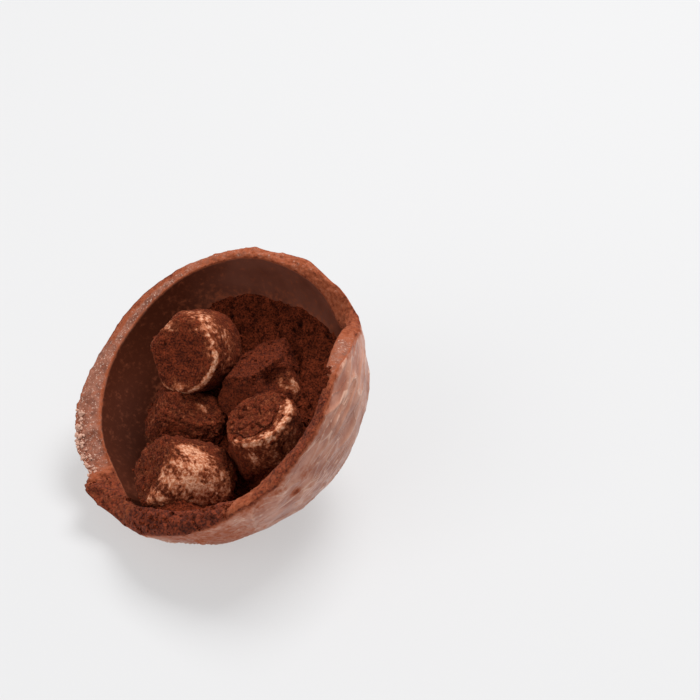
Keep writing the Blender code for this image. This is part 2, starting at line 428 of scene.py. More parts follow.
def makeMilkChocolate(look):
    material, tree, sockets = newMaterial("milkChocolate", Specular_IOR_Level=0.28)
    colours = {name: linear(look[name]) for name in (
        "coat", "coatValley", "crest", "broken", "brokenDark", "specks", "inner", "haze")}
    broken = attribute(tree, "broken")
    inner = attribute(tree, "inner")
    grain = groupNode(tree, grainGroup, Grain_Size=look["grainSize"],
                      Speck_Share=look["speckShare"])
    dust = dustOver(tree, look, attribute(tree, "dust"))

    # the coat: cloudy, with painted highlights along its ridges
    cloud = ramp(tree, noiseNode(tree, look["cloudSize"], 4.0), 0.35, 0.65)
    coat = blendColour(tree, cloud, colours["coatValley"], colours["coat"])
    ripples = maths(tree, "MAXIMUM", *(rippleNode(tree, size, look)
                                       for size in look["rippleSizes"]))
    rub = ramp(tree, noiseNode(tree, look["rubSize"], 2.0, 0.55), 0.46, 0.56)
    light = weighted(tree, attribute(tree, "crest"), 0.5,
                     maths(tree, "MULTIPLY", ripples, rub), 0.8, clamp=True)
    coat = blendColour(tree, light, coat, colours["crest"])

    # the break, the hollow darkened by painted shade and lit by painted sheen at its back, and
    # cocoa over all
    tone = ramp(tree, grain["Tone"], 0.35, 0.65)
    face = blendColour(tree, tone, colours["brokenDark"], colours["broken"])
    # painted glints of the crystals, as light specks
    face = blendColour(tree, grain["Specks"], face, colours["specks"])
    colour = blendColour(tree, broken, coat, face)
    # painted sheen lightens the back of the hollow
    hollow = blendColour(tree, attribute(tree, "haze"), colours["inner"], colours["haze"])
    colour = blendColour(tree, inner, colour, hollow)
    wire(tree, blendColour(tree, dust["Mask"], colour, dust["Colour"]), sockets["Base Color"])
    rough = blendValue(tree, broken, look["coatRoughness"], look["brokenRoughness"])
    rough = blendValue(tree, inner, rough, look["innerRoughness"])
    rough = blendValue(tree, dust["Mask"], rough, look["dustRoughness"])
    wire(tree, rough, sockets["Roughness"])
    outside = maths(tree, "SUBTRACT", maths(tree, "SUBTRACT", 1.0, inner), broken, clamp=True)
    ripple = maths(tree, "MULTIPLY", ripples, outside)
    height = maths(tree, "ADD", maths(tree, "MULTIPLY", grain["Height"], broken),
                   weighted(tree, ripple, look["rippleHeight"],
                            dust["Height"], look["dustHeight"]))
    wire(tree, bump(tree, height, look["bumpDepth"]), sockets["Normal"])
    return material


cocoaPowderLook = {
    "shade": (52, 15, 7),
    "light": (126, 54, 30),
    # painted shade for the pits and crevices of the powder
    "pit": (34, 9, 4),
    "grainSize": 0.30,
    "clumpSize": 1.3,
    "bumpDepth": 0.36,
}


def makeCocoaPowder(look):
    material, tree, sockets = newMaterial("cocoaPowderLoose", 1.0, Specular_IOR_Level=0.06)
    grain = noiseNode(tree, look["grainSize"], 3.0)
    tone = ramp(tree, powderTone(tree, grain, look["clumpSize"], 4.0), 0.37, 0.64)
    colour = blendColour(tree, tone, linear(look["shade"]), linear(look["light"]))
    # painted shade in the powder's pits
    colour = blendColour(tree, attribute(tree, "pit"), colour, linear(look["pit"]))
    wire(tree, colour, sockets["Base Color"])
    wire(tree, bump(tree, grain, look["bumpDepth"]), sockets["Normal"])
    return material


marshmallowLook = {
    "pale": (228, 172, 140),
    "paleShade": (186, 112, 76),
    "roughness": 0.9,
    "dustPatch": 0.76,
    "dustSpread": 1.35,
    "dustGrain": 0.30,
    "poreSize": 0.42,
    "poreHeight": 0.5,
    "bumpDepth": 0.36,
}


def makeMarshmallow(look):
    material, tree, sockets = newMaterial("dustedMarshmallow", look["roughness"],
                                          Specular_IOR_Level=0.12)
    dust = dustOver(tree, look, maths(tree, "SUBTRACT", 1.0, attribute(tree, "pale")))
    pores = noiseNode(tree, look["poreSize"], 3.0)
    pale = blendColour(tree, ramp(tree, pores, 0.38, 0.6),
                       linear(look["paleShade"]), linear(look["pale"]))
    colour = blendColour(tree, dust["Mask"], pale, dust["Colour"])
    wire(tree, colour, sockets["Base Color"])
    height = maths(tree, "ADD", dust["Height"],
                   maths(tree, "MULTIPLY", pores, look["poreHeight"]))
    wire(tree, bump(tree, height, look["bumpDepth"]), sockets["Normal"])
    return material


chocolateMaterial = makeMilkChocolate(milkChocolate)
powderMaterial = makeCocoaPowder(cocoaPowderLook)
marshmallowMaterial = makeMarshmallow(marshmallowLook)
print("materials made")


shell = {
    # a turn from the low side in degrees, how high the outer and the inner edge of the break
    # stand along the bowl's axis, and how much cocoa lies on the break, from 0 to 1
    "rim": (
        (-167, -7.4, -8.8, 0.60),
        (-150, -6.6, -6.2, 0.55),
        (-133, -4.6, -3.8, 0.50),
        (-118, -3.6, -3.0, 0.48),
        (-103, -2.9, -2.5, 0.30),
        (-88, -2.4, -2.7, 0.12),
        (-74, -2.9, -3.0, 0.10),
        (-60, -3.2, -3.3, 0.10),
        (-45, -3.0, -4.1, 0.10),
        (-32, -3.6, -5.0, 0.15),
        (-22, -4.7, -5.8, 0.15),
        (-13, -5.9, -6.8, 0.35),
        (-3, -4.0, -7.2, 0.95),
        (10, -6.8, -6.2, 0.95),
        (24, -6.6, -4.6, 0.90),
        (38, -5.2, -3.8, 1.00),
        (50, -4.6, -4.5, 0.95),
        (63, -4.6, -5.1, 0.60),
        (76, -3.7, -5.4, 0.66),
        (91, -3.3, -4.2, 0.88),
        (106, -2.6, -3.8, 0.95),
        (121, -1.5, -2.8, 0.98),
        (134, -1.2, -1.0, 0.35),
        (144, -3.4, -1.8, 0.20),
        (154, -6.3, -4.4, 0.70),
        (166, -9.6, -9.0, 0.74),
        (179, -9.6, -12.8, 0.68),
    ),
    # stretches of the break: the middle of each, its reach and how soft its ends are
    "crumbly": (-24, 26, 10),
    "chunk": (7, 20, 6),            # a block that stands up
    "heap": (46, 26, 10),           # loose powder over the edge
    "brownOutside": (-86, 24, 10),  # cocoa on the outer half alone
    "ledge": (-29.0, -9.0),         # the outer part stands lower between these turns
    "ledgeDrop": 0.55,
    "heapThick": 0.35,
    "heapLumps": 1.6,               # as a share of its thickness
    "heapClots": 0.42,
    "heapDeep": 3.6,                # how far it hangs down the inside
    "looseThick": 0.22,             # powder on the rest of the break
    "looseLumps": 0.36,
    "crumbleHeight": (0.20, 0.09),  # small lumps and clods of powder
    "blockHeight": (0.60, 0.70),    # broken blocks of the chunk, and the lumps under them
    "sides": 720,
    "outerRows": 220,
    "breakRows": 22,
    "innerRows": 40,
    "crown": 0.35,          # how far the break swells between its edges
    "relief": 0.70,         # broad ridges and lumps of the coat, as the solid has them
    "lumpSize": 1 / 3.5,    # of a ball radius
    "ridgeRuns": (2.4, 7.5),    # how quickly they change round the bowl and down its side
    "crestRuns": (2.6, 7.0),    # the same for the thin crests on them
    "fineRuns": (4.5, 12.0),    # and for the finest
    "crestHeight": 0.30,
    "crestWidth": 0.085,
    "nubs": (               # a turn, a height along the axis, a radius and how far it stands out
        (50, -10.3, 0.9, 0.55),
        (100, -16.5, 0.9, 0.45),
        (72, -14.0, 0.7, 0.30),
        (89, -4.6, 0.5, -0.22),
        (95, -5.0, 0.4, -0.20),
        (84, -5.4, 0.4, -0.18),
    ),
    "smudges": (            # cocoa on the walls, and painted shade on the low outside: a place, a reach and a strength
        ((16.4, -21.5, -7.3), 0.9, 0.75),
        ((13.4, -24.4, -4.4), 1.6, 0.40),
        ((8.5, -25.9, -6.0), 3.0, 0.50),
        ((3.0, -26.6, -7.6), 3.2, 0.46),
        ((-3.0, -26.2, -8.8), 3.0, 0.42),
        ((18.0, -20.5, -3.6), 1.4, 0.36),
        # these two broad spots are painted shade on the low outside, laid on as cocoa
        ((3.6, -22.1, -16.8), 6.0, 0.48),
        ((-4.0, -22.5, -15.5), 5.0, 0.42),
        ((-8.6, 10.4, -21.0), 1.5, 0.85),
        ((-7.6, 8.4, -22.2), 1.8, 0.90),
        ((1.1, 24.4, -3.5), 3.0, 0.14),
        ((-3.0, 23.6, -4.0), 3.0, 0.12),
        ((-12.0, -14.0, -16.0), 3.0, 0.26),
    ),
    # where crumbs of cocoa and flakes of chocolate lie, as stretches of the break
    "crumbs": {
        "heap": (48, 28, 8),
        "chunk": (8, 18, 5),
        "clot": (129, 5, 4),
        "flakes": (-25, 16, 5),
    },
}


def coatHeight(turn, drop, look):
    # height of the dipped coat, and how near each place is to the top of a thin ridge, where a
    # painted highlight goes
    unit = polar(turn, drop)
    flat = np.sin(drop)
    level = np.stack((np.cos(turn) * flat, np.sin(turn) * flat), axis=-1)

    def runs(pace, bend, seed=0.0):
        across, down = pace
        return lumps(np.column_stack((level * across, drop * down + bend)), 1.0, seed=seed)

    broad = lumps(unit, look["lumpSize"])
    drift = lumps(unit, 0.5, seed=4.0)
    wander = 0.30 * lumps(unit, 0.16, seed=15.0)
    ridge = runs(look["ridgeRuns"], broad)
    fine = runs(look["crestRuns"], 1.6 * drift + wander, 9.0)
    finest = runs(look["fineRuns"], -1.2 * drift + wander, 21.0)
    breaks = smooth(1.6 * lumps(unit, 0.22, seed=3.0) + 0.75)
    width = look["crestWidth"]
    crest = np.exp(-np.abs(fine / width) ** 1.3) * breaks
    fineCrest = np.exp(-np.abs(finest / (1.4 * width)) ** 1.3) * (1.15 - breaks)
    height = look["relief"] * (ridge + broad) / 2
    height += look["crestHeight"] * (crest + 0.5 * fineCrest)
    height -= 0.40 * np.abs(fine) ** 1.2        # dips between the crests
    return height, np.maximum(crest, 0.6 * fineCrest)


def addNubs(points, height, look):
    radius = ball["radius"]
    for turn, along, reach, out in look["nubs"]:
        flat = math.sqrt(radius**2 - along**2)
        turn = math.radians(turn)
        middle = np.array((flat * math.cos(turn), flat * math.sin(turn), along))
        away = np.linalg.norm(points - middle, axis=1) / reach
        height += out * np.exp(-away**2)
    return height


def rimOf(look):
    # the two edges of the break, and what lies where along it
    turn = np.linspace(-math.pi, math.pi, look["sides"], endpoint=False)
    degrees = np.degrees(turn)
    circle = np.stack((np.cos(turn), np.sin(turn), 0 * turn), axis=-1)
    crumbly, chunk, heap = (stretchMask(degrees, look[name])
                            for name in ("crumbly", "chunk", "heap"))
    outerAlong = curveRound(look["rim"], 1)(degrees)
    innerAlong = curveRound(look["rim"], 2)(degrees) + 0.10 * lumps(circle, 0.06, 2, 5.0)
    return {
        "turn": turn,
        "degrees": degrees,
        "chunk": chunk,
        "heap": heap,
        "jag": lumps(circle, 0.045, 3) * (0.12 + 0.33 * crumbly + 0.36 * chunk + 0.16 * heap),
        "cocoa": stepRound(look["rim"], 3, degrees),
        "outerDrop": np.arccos(-outerAlong / ball["radius"]),
        "innerDrop": np.arccos(-innerAlong / hollowRadius),
    }


def keepRow(skin, points, **values):
    # one more ring of the shell's skin, with what its material needs to know there
    skin["rows"].append(points)
    for name, column in skin["notes"].items():
        column.append(np.broadcast_to(values.get(name, 0.0), (len(points),)))


def addCoat(skin, rim, look):
    # outside, from the bottom to the break
    for row in range(1, look["outerRows"] + 1):
        share = row / look["outerRows"]
        drop = rim["outerDrop"] * share
        unit = polar(rim["turn"], drop)
        height, crest = coatHeight(rim["turn"], drop, look)
        height = addNubs(unit * ball["radius"], height, look)
        points = unit * (ball["radius"] + height)[:, None]
        edge = smooth((share - 0.97) / 0.03)
        points[:, 2] += edge * rim["jag"]
        # the spots give cocoa smudges and painted shade on the low outside
        dust = spotMask(points @ fromBowl.T, look["smudges"])
        dust = np.clip(dust + edge * (0.15 + 0.6 * rim["cocoa"]), 0, 1)
        # the crest values place the painted highlight along the ridges
        keepRow(skin, points, crest=crest * (1 - 0.5 * edge), dust=dust)


def addBreak(skin, rim, look):
    # the broken face: grain where it is bare, loose powder where cocoa lies
    degrees, cocoa, jag, heap, chunk = (rim[name] for name in (
        "degrees", "cocoa", "jag", "heap", "chunk"))
    ledgeFrom, ledgeTo = look["ledge"]
    ledge = smooth((degrees - ledgeFrom) / 2.0) * smooth((ledgeTo - degrees) / 4)
    brownOutside = stretchMask(degrees, look["brownOutside"])
    powdered = smooth((cocoa - 0.30) / 0.22)
    small, clodded = look["crumbleHeight"]
    block, broad = look["blockHeight"]
    along = np.array((0.0, 0.0, 1.0))
    outerEdge = skin["rows"][-1] - jag[:, None] * along
    innerEdge = hollowShift + hollowRadius * polar(rim["turn"], rim["innerDrop"])
    for row in range(1, look["breakRows"]):
        share = row / look["breakRows"]
        points = outerEdge + (innerEdge - outerEdge) * share
        swell = 4 * share * (1 - share)
        edges = min(1.0, 7 * share * (1 - share))
        nearOuter = max(0.0, 1 - 5 * share) ** 2
        atInner = math.exp(-((1 - share) / 0.08) ** 2)
        grain = layered(points, ((0.8, 3, 0.0, 0.15), (0.4, 2, 3.0, 0.10)))
        step = ledge * smooth((share - 0.22) / 0.08) * -look["ledgeDrop"]
        crumble = small * lumps(points, 0.9, 3, 7.0) + clodded * clods(points, 0.7, 4.0)
        loose = look["looseThick"] + look["looseLumps"] * lumps(points, 3.2, 2, 19.0)
        loose = loose + crumble * (1 - 0.2 * heap)
        blocks = 0.10 + block * clods(points, 2.0, 1.0) + broad * lumps(points, 2.4, 4, 9.0)
        clots = lumps(points, 1.3, 3, 27.0)
        rise = swell * look["crown"] + step * edges + edges * grain
        rise += edges * (powdered * loose + chunk * blocks) + jag * nearOuter
        heaped = heap * look["heapThick"] * min(1.0, 3 * share)
        rise += heaped * (1 + look["heapLumps"] * lumps(points, 1.8, 4, 11.0))
        rise += look["heapClots"] * heap * edges * clots
        line = math.exp(-(share / 0.08) ** 2) + math.exp(-((1 - share) / 0.10) ** 2)
        dust = cocoa + 0.6 * line * (1 - cocoa) + 0.7 * heap
        dust += 0.5 * brownOutside * smooth((0.62 - share) / 0.15)
        dust -= 0.6 * heap * atInner            # thinner along the heap's inner edge, so a lighter line shows there
        # painted shade in the dips between crumbs and clots of the break
        pit = np.maximum(powdered, chunk) * smooth(-3.2 * crumble - 0.10)
        pit = (0.32 + 0.2 * heap) * pit + 0.55 * heap * smooth(-1.8 * clots)
        keepRow(skin, points + rise[:, None] * along, broken=1.0,
                dust=np.clip(dust, 0, 1.3), pit=np.clip(pit, 0, 1))


def addHollow(skin, rim, look):
    # the hollow, from the break down to its bottom
    deep = look["heapDeep"]
    for row in range(look["innerRows"], 0, -1):
        share = 1 - (1 - row / look["innerRows"]) ** 1.8     # finest near the break
        points = polar(rim["turn"], rim["innerDrop"] * share) * hollowRadius
        points *= 1 + 0.0025 * lumps(points, 6.0, 2, 2.0)[:, None]
        below = (1 - share) * rim["innerDrop"] * hollowRadius
        heap = rim["heap"] * smooth((deep - below) / deep)
        heap = heap * look["heapThick"] * (1 + 0.6 * lumps(points, 1.5, 3, 11.0))
        points *= 1 - (0.8 * heap / hollowRadius)[:, None]
        points[:, 2] += heap * smooth((1.2 - below) / 1.2)
        points = points + hollowShift
        edge = smooth((share - 0.990) / 0.010)
        place = points @ fromBowl.T
        dust = spotMask(place, look["smudges"]) + edge * (0.45 + 0.4 * rim["cocoa"])
        dust = np.clip(dust + shoreDust(place) + 2 * heap, 0, 1.3)
        # painted sheen: the back of the hollow's wall is lightened
        haze = smooth((place[:, 0] + 5.0) / 11.0) * smooth((place[:, 1] - 6.0) / 9.0)
        haze *= 0.85 + 0.5 * lumps(place, 5.0, 3, 17.0)
        keepRow(skin, points, inner=1 - 0.35 * edge, dust=dust, haze=np.clip(haze, 0, 1))


def breakCrumbs(values, degrees, rowCount, look):
    # how thickly crumbs of cocoa and flakes of chocolate lie at each point of the skin
    sides = look["sides"]
    count = rowCount * sides + 2
    onBreak = values["broken"] > 0.5
    first = 1 + look["outerRows"] * sides
    shares = np.zeros(count)
    shares[first:first + (look["breakRows"] - 1) * sides] = np.repeat(
        np.arange(1, look["breakRows"]) / look["breakRows"], sides)
    around = np.zeros(count)
    around[1:-1] = np.tile(degrees, rowCount)
    crumbs = look["crumbs"]
    powder = onBreak * smooth((values["dust"] - 0.55) / 0.3)
    powder *= (0.01 + stretchMask(around, crumbs["heap"])
               + 0.3 * stretchMask(around, crumbs["chunk"]))
    inward = smooth((shares - 0.4) / 0.3)
    powder += onBreak * inward * 14.0 * stretchMask(around, crumbs["clot"])
    outward = smooth((0.42 - shares) / 0.2)
    return powder, onBreak * outward * stretchMask(around, crumbs["flakes"])


def makeShell(look):
    names = ("crest", "broken", "inner", "dust", "haze", "pit")
    skin = {"rows": [], "notes": {name: [] for name in names}}
    rim = rimOf(look)
    addCoat(skin, rim, look)
    addBreak(skin, rim, look)
    addHollow(skin, rim, look)
    first = np.array((0.0, 0.0, -ball["radius"]))
    last = hollowShift + np.array((0.0, 0.0, -hollowRadius))
    points = np.vstack((first, *skin["rows"], last)) @ fromBowl.T
    points[:, 2] = np.maximum(points[:, 2], -ballHeight)   # the flat foot
    values = {name: np.concatenate(([column[0][0]], *column, [column[-1][0]]))
              for name, column in skin["notes"].items()}
    rowCount = len(skin["rows"])
    piece = meshPiece("chocolateShell", points, ringFaces(rowCount, look["sides"]),
                      chocolateMaterial, values)
    settle(piece, "milk_chocolate", "shell")
    return piece, *breakCrumbs(values, rim["degrees"], rowCount, look)


cocoa = {
    "middle": -18.4,                    # its surface under the ball's middle
    "bankRise": 0.69,                   # slope of the bank towards the wall
    "bankHeading": math.radians(50),    # where it is highest, from +X
    "bankSpread": 0.35,
    "fallWay": (-0.95, 0.30),           # the way in which the surface falls off
    "fall": 0.045,
    "heapMiddle": (-3.0, -18.0),
    "heapSpread": (8.0, 4.0),
    "heapHeight": 5.2,
    "bed": (0.32, 0.30, -0.90),         # towards the middle of its underside
    "sides": 440,
    "topRows": 130,
    "bedRows": 10,
    "sink": 0.15,                       # how far its edge goes into the wall
    "relief": 0.6,
    "lumpSize": 4.5,
    "crumbHeight": 0.20,
    "streakHeight": 0.42,
    "pitDepth": 0.75,
    "nearReach": 1.6,                   # how far from a marshmallow the powder still feels it
    "nearRise": 0.55,
    "nearFall": 1.5,
    "wallDust": 0.24,                   # how thickly it clings to the wall just above
    "wallDustReach": 1.2,
}


def cocoaHeight(x, y):
    out = np.hypot(x, y)
    facing = np.maximum(np.cos(np.arctan2(y, x) - cocoa["bankHeading"]), 0.0)
    bank = cocoa["bankRise"] * out * facing ** cocoa["bankSpread"]
    left = np.maximum(cocoa["fallWay"][0] * x + cocoa["fallWay"][1] * y, 0.0)
    offX = (x - cocoa["heapMiddle"][0]) / cocoa["heapSpread"][0]
    offY = (y - cocoa["heapMiddle"][1]) / cocoa["heapSpread"][1]
    heap = cocoa["heapHeight"] * np.exp(-(offX**2) - offY**2)
    return cocoa["middle"] + bank + heap - cocoa["fall"] * left**2


def powderTop(points):
    # with its broad lumps
    x, y = points[:, 0], points[:, 1]
    flat = np.stack((x, y, 0 * x), axis=-1)
    return cocoaHeight(x, y) + cocoa["relief"] * lumps(flat, cocoa["lumpSize"], 4)


def shoreDust(place):
    # cocoa that clings to the wall above the powder
    above = place[:, 2] - cocoaHeight(place[:, 0], place[:, 1])
    return cocoa["wallDust"] * np.exp(-np.clip(above, 0, None) / cocoa["wallDustReach"])


def nearest(points, trees):
    # how far each point is outside the nearest marshmallow, and less than 0 inside
    farOff, reach = 99.0, 4.0
    gaps = np.full(len(points), farOff)
    for i, point in enumerate(points.tolist()):
        for tree in trees:
            spot, normal, _, away = tree.find_nearest(point, reach)
            if spot is None:
                continue
            gap = away if (Vector(point) - spot).dot(normal) > 0 else -away
            gaps[i] = min(gaps[i], gap)
    return gaps


def powderRings(look):
    # rings of points up the bed to the shore, then in over the top to its middle
    sides = look["sides"]
    axis = Vector(look["bed"]).normalized()
    along = np.array(axis.orthogonal().normalized())
    axis = np.array(axis)
    across = np.cross(axis, along)
    turn = np.linspace(0, 2 * math.pi, sides, endpoint=False)
    spokes = np.cos(turn)[:, None] * along + np.sin(turn)[:, None] * across
    radius = hollowRadius + look["sink"]

    def bed(drop):
        return hollowCentre + radius * (spokes * np.sin(drop)[:, None]
                                        + axis * np.cos(drop)[:, None])

    low, high = np.zeros(sides), np.full(sides, math.pi / 2)
    for _ in range(30):         # halves the way to the shore each time
        middle = (low + high) / 2
        points = bed(middle)
        under = points[:, 2] < powderTop(points)
        low, high = np.where(under, middle, low), np.where(under, high, middle)
    shore = bed(low)
    centre = shore.mean(axis=0)
    rings = [bed(low * row / look["bedRows"]) for row in range(1, look["bedRows"] + 1)]
    shares = [math.sqrt(row / look["topRows"]) for row in range(look["topRows"] - 1, 0, -1)]
    rings += [centre + (shore - centre) * share for share in shares]
    points = np.vstack((hollowCentre + radius * axis, *rings, centre))
    return points, len(rings), np.concatenate((np.repeat(shares, sides), [0.0]))


def makeCocoa(look, trees):
    points, ringCount, share = powderRings(look)
    top = np.arange(len(points)) >= len(points) - len(share)
    surface = points[top]
    surface[:, 2] = powderTop(surface)
    blocks = clods(surface, 1.5, 2.0) * smooth(lumps(surface, 4.0, 2, 31.0) * 1.5 + 0.5)
    crumbs = lumps(surface, 0.7, 3, 5.0)
    pits = smooth(lumps(surface, 1.5, 3, 12.0) * 1.6 - 0.35)
    streaks = lumps(surface * np.array((1.0, 0.25, 0.25)), 1.1, 3, 8.0)     # drawn out across
    onBank = smooth((surface[:, 2] + 9.0) / 5.0)
    rise = blocks * (0.26 - 0.06 * onBank) + look["crumbHeight"] * crumbs
    rise += look["streakHeight"] * streaks * onBank - look["pitDepth"] * pits
    surface[:, 2] += rise * (1 - 0.65 * share ** 8)     # calmer towards the shore
    near = np.clip(1 - np.abs(nearest(surface, trees)) / look["nearReach"], 0, 1) ** 2
    below = near * (1 - onBank)         # piled against them below, fallen away from them above
    surface[:, 2] += look["nearRise"] * below * (1 + crumbs) - look["nearFall"] * near * onBank
    points[top] = surface
    # painted shade in the pits, between crumbs and along the bank's streak grooves
    pit = np.zeros(len(points))
    pit[top] = 0.45 * pits + 0.45 * smooth(-2.0 * crumbs - 0.15)
    pit[top] += 0.30 * onBank * smooth(-2.0 * streaks)
    # its rings run the other way round, so each face is turned to look out
    faces = [face[::-1] for face in ringFaces(ringCount, look["sides"])]
    piece = meshPiece("cocoaPowder", points, faces, powderMaterial, {"pit": np.clip(pit, 0, 1)})
    settle(piece, "cocoa_powder", "cocoa")
    # crumbs lie on the blocks, against the marshmallows, and thickest at the shore's far end
    weight = np.zeros(len(points))
    shoreEnd = stretchMask(surface[:, 0], (2, 5, 3)) * smooth((surface[:, 1] - 8) / 3)
    nearShore = share ** 14 * (1.2 + 7.0 * shoreEnd)
    weight[top] = (0.25 + smooth(1.6 * blocks) + below + nearShore) * (1 - pits)
    return piece, weight


# place is the middle, facing the way one end looks, taper that end's width as a share of the
# rest. Spots are places from its own middle, with a reach and a strength.
backLeftMarshmallow = {
    "node": "marshmallow_back_left",
    "place": (-1.35, 12.2, -4.85),
    "facing": (-0.31, -0.81, 0.50), "box": 5.0,
    "width": 14.0, "length": 14.0, "dent": 0.5, "taper": 1.0, "seed": 0.0,
    "pale": (
        ((3.1, -5.1, 4.4), 1.0, 0.75), ((-2.4, -6.9, -1.9), 1.3, 0.55),
        ((2.3, -1.9, 6.6), 1.8, 0.66), ((-3.7, -1.8, 6.5), 1.1, 0.6),
        ((5.6, -1.7, 2.6), 2.0, 0.35), ((5.4, -3.6, 1.0), 1.8, 0.29),
        ((0.9, 0.7, 6.7), 2.6, 0.40), ((4.2, -0.8, 5.0), 2.0, 0.45),
    ),
    "rings": (((-0.31, -0.81, 0.50), 6.2, 6.35, 0.58, (0.85, -0.35, -0.35), 1.2),
              ((-0.31, -0.81, 0.50), 5.8, 6.5, 0.65, (-0.6, 0.0, -0.8), 0.85)),
    "hollows": (((-1.6, -5.7, 3.2), 3.2, 0.35),),
    "thick": (((-2.0, -5.1, 3.2), 3.0, 0.55),),
    "flats": (((-0.31, -0.81, 0.50), 6.3, 0.14), ((-0.75, 0.40, 0.52), 6.4, 0.25),
              ((-0.95, -0.18, -0.24), 6.6, 0.25)),
    "crust": 0.25, "crustSize": 1.2, "crumbs": 0.15,
}
backRightMarshmallow = {
    "node": "marshmallow_back_right",
    "place": (10.5, 6.9, -6.8),
    "facing": (0.20, 0.10, 0.97), "box": 4.5,
    "width": 15.2, "length": 13.4, "dent": 0.4, "taper": 0.92, "seed": 7.3,
    "pale": (
        ((4.3, -2.4, 1.6), 1.4, 0.62), ((5.6, -2.6, 0.6), 1.0, 0.7),
    ),
    "rings": (),
    "hollows": (((1.6, -3.2, 2.8), 2.1, 1.5),),
    "gloom": 0.30,                  # painted shadow: darker all over and nowhere pale, as in the wall's shade
    "flats": (                      # crushed flat on every side
        ((-0.40, 0.18, 0.90), 3.5, 0.12), ((0.868, 0.003, 0.497), 5.3, 0.10),
        ((0.30, -0.80, 0.52), 4.1, 0.10), ((-0.64, -0.68, 0.36), 5.1, 0.10),
        ((0.07, -0.97, -0.21), 5.5, 0.2), ((-0.90, 0.40, 0.15), 5.9, 0.2),
    ),
    "crust": 0.30, "crustSize": 1.6, "crumbs": 0.8,
    "blocks": (2.6, 0.34),
}
middleMarshmallow = {
    "node": "marshmallow_middle",
    "place": (-2.8, 3.9, -13.1),
    "facing": (-0.90, 0.02, 0.43),
    "width": 10.4, "length": 13.0, "dent": 0.8, "taper": 1.0, "seed": 14.6,
    "pale": (
        ((3.7, -1.0, 3.9), 0.8, 0.6), ((2.7, -1.1, 4.5), 0.8, 0.5),
        ((-6.0, -2.5, 3.0), 0.7, 0.5),
    ),
    "rings": (),
    "hollows": (((1.2, -2.6, 4.0), 1.4, 0.7),),
    "flats": (((-0.90, 0.02, 0.43), 5.8, 0.25), ((0.42, -0.35, 0.84), 4.5, 0.30)),
    "crust": 0.30, "crustSize": 1.6, "grooves": 0.45, "crumbs": 1.0,
    "grooveWay": (0.8, 0.5, 0.25),
    "blocks": (2.2, 0.24),
}
rightMarshmallow = {
    "node": "marshmallow_right",
    "place": (11.35, -5.05, -9.45),
    "facing": (-0.25, -0.05, 0.97),
    "width": 12.8, "length": 13.4, "dent": 0.5, "taper": 0.97, "seed": 21.9, "box": 5.0,
    "pale": (
        ((3.6, -4.4, 2.4), 2.0, 0.52), ((-0.7, -6.0, 0.2), 2.2, 0.48),
        ((1.8, -5.6, 0.6), 2.4, 0.50), ((4.8, -3.4, 0.2), 2.0, 0.44),
    ),
    "rings": (((-0.42, -0.05, 0.90), 4.5, 6.3, 0.60, (0.50, -0.86, 0.0), 1.35),
              ((-0.42, -0.05, 0.90), 4.6, 5.3, 1.10, (0.55, -0.80, 0.0), 0.52)),
    "hollows": (),
    "flats": (((-0.42, -0.05, 0.90), 4.75, 0.12), ((0.2, -0.85, -0.5), 5.6, 0.4)),
    "crust": 0.35, "crustSize": 1.6, "crumbs": 0.8,
    "cap": ((-0.42, -0.05, 0.90), 4.7, 0.42),   # powder on its end: way, radius, thickness
}
frontMarshmallow = {
    "node": "marshmallow_front",
    "place": (-2.1, -9.85, -14.05),
    "facing": (-0.77, -0.34, 0.54),
    "width": 12.8, "length": 15.9, "dent": 0.5, "taper": 1.05, "seed": 29.2,
    "pale": (
        ((0.6, -1.3, 7.0), 1.8, 0.85), ((2.8, -1.2, 5.8), 2.2, 0.90),
        ((4.2, -3.0, 4.1), 2.2, 0.78), ((1.4, -5.2, 4.4), 3.0, 0.80),
        ((2.3, -5.3, 2.8), 2.8, 0.95), ((6.0, -3.2, 0.8), 2.6, 0.50),
        ((-1.5, -5.9, 5.0), 2.4, 0.66), ((-5.2, -6.5, 1.1), 1.4, 0.54),
        ((-3.6, -7.2, 1.3), 1.4, 0.56), ((2.0, -6.6, 1.0), 2.8, 0.52),
    ),
    "rings": (),
    "hollows": (((3.0, 0.8, 6.2), 1.8, 0.35),),
    "flats": (((-0.77, -0.34, 0.54), 6.8, 0.25), ((0.42, 0.05, 0.90), 6.0, 0.35)),
    "crust": 0.24, "crustSize": 1.2, "grooves": 0.50, "crumbs": 0.35,
    "grooveWay": (1.0, 0.6, 0.28),      # along which the grooves change quickest
}
allMarshmallows = {
    "sides": 200,
    "rows": 140,
    "box": 3.6,             # how square the barrel is: 2 is round
    "dent": 0.9,
    "lumpSize": 6.0,
    "fineCrust": 0.08,
    "bareLumps": 0.06,      # on the skin where the powder is worn off
    "grooveWidth": 0.11,
    "capLumps": 0.16,
    "capBlocks": 0.42,
    "crackDepth": 0.7,
    "pitShade": 0.45,
}


def power(value, box):
    return np.sign(value) * np.abs(value) ** (2 / box)


def flatten(points, flats):
    # presses flats into the points: each is a way to face, a distance and how soft its edge is
    for way, distance, soft in flats:
        way = unitVector(way)
        over = (points @ way - distance) / soft
        points = points - soft * np.logaddexp(0.0, over)[:, None] * way
    return points


def outFrom(points, way):
    # how far the points are along a way from the middle, and their offset from it
    along = points @ way
    return along, points - along[:, None] * way


def ringMask(points, rings):
    # a worn edge round a flat end: the way the end faces, its distance, radius and width,
    # the way in which the edge is most worn, and how strongly
    mask = np.zeros(len(points))
    for way, distance, radius, width, towards, strength in rings:
        along, flat = outFrom(points, unitVector(way))
        out = np.linalg.norm(flat, axis=1)
        away = np.hypot(out - radius, along - distance) / width
        worn = smooth(0.35 + 0.9 * (flat @ unitVector(towards)) / np.maximum(out, 1e-6))
        breaks = 0.75 + 0.9 * lumps(points, 1.2, 3, 41.0)
        mask = np.maximum(mask, strength * breaks * worn * fadeOut(away))
    return mask


